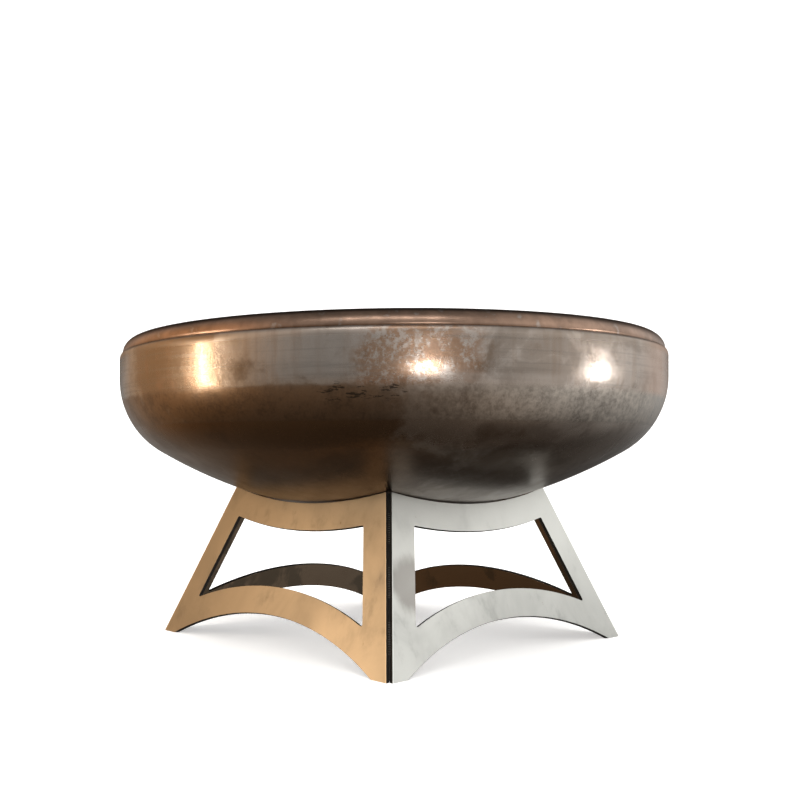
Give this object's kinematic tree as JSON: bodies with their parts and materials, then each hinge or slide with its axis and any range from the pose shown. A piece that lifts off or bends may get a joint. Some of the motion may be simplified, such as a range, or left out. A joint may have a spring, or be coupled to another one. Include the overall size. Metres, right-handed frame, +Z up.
{
  "type": "fire pit",
  "caption": "Round steel fire pit: a dished bowl with a half-pipe rim on a base of four leaning frame panels with arched openings, and a lift-out fire grate inside.",
  "frame": {"origin": "on the floor under the centre of the bowl", "axes": "+Z up along the bowl's axis; the base panels face -Y, +X, +Y and -X; the grate bars run along X"},
  "size_m": [0.9143, 0.9144, 0.4993],
  "materials": {
    "bowl_steel": "natural steel with a brown and silver patina, satin",
    "rim_steel": "natural steel with a copper-brown patina, satin",
    "base_steel": "natural hot-rolled steel plate, satin",
    "weld_metal": "as-welded bead, semi-matt",
    "grate_steel": "dark hot-rolled bar with mill scale, matt"
  },
  "bodies": {
    "fire_pit": {"base_panel_back": "base_steel", "base_panel_front": "base_steel", "base_panel_left": "base_steel", "base_panel_right": "base_steel", "corner_welds_back_left": "weld_metal", "corner_welds_back_right": "weld_metal", "corner_welds_front_left": "weld_metal", "corner_welds_front_right": "weld_metal", "fire_bowl": "bowl_steel", "half_pipe_rim": "rim_steel", "rim_inner_weld": "weld_metal", "seat_welds_back": "weld_metal", "seat_welds_front": "weld_metal", "seat_welds_left": "weld_metal", "seat_welds_right": "weld_metal"},
    "grate": {"grate_bar_01": "grate_steel", "grate_bar_02": "grate_steel", "grate_bar_03": "grate_steel", "grate_bar_04": "grate_steel", "grate_bar_05": "grate_steel", "grate_bar_06": "grate_steel", "grate_bar_07": "grate_steel", "grate_bar_08": "grate_steel", "grate_bar_09": "grate_steel", "grate_bar_10": "grate_steel", "grate_bar_11": "grate_steel", "grate_bearer_left": "grate_steel", "grate_bearer_right": "grate_steel", "grate_handle_left": "grate_steel", "grate_handle_right": "grate_steel", "grate_leg_back_left": "grate_steel", "grate_leg_back_right": "grate_steel", "grate_leg_front_left": "grate_steel", "grate_leg_front_right": "grate_steel", "grate_ring": "grate_steel"}
  },
  "joints": [
    {"name": "grate_lift", "type": "slide", "parent": "fire_pit", "child": "grate", "axis": [0, 0, 1], "range_m": [0, 0.32]}
  ]
}
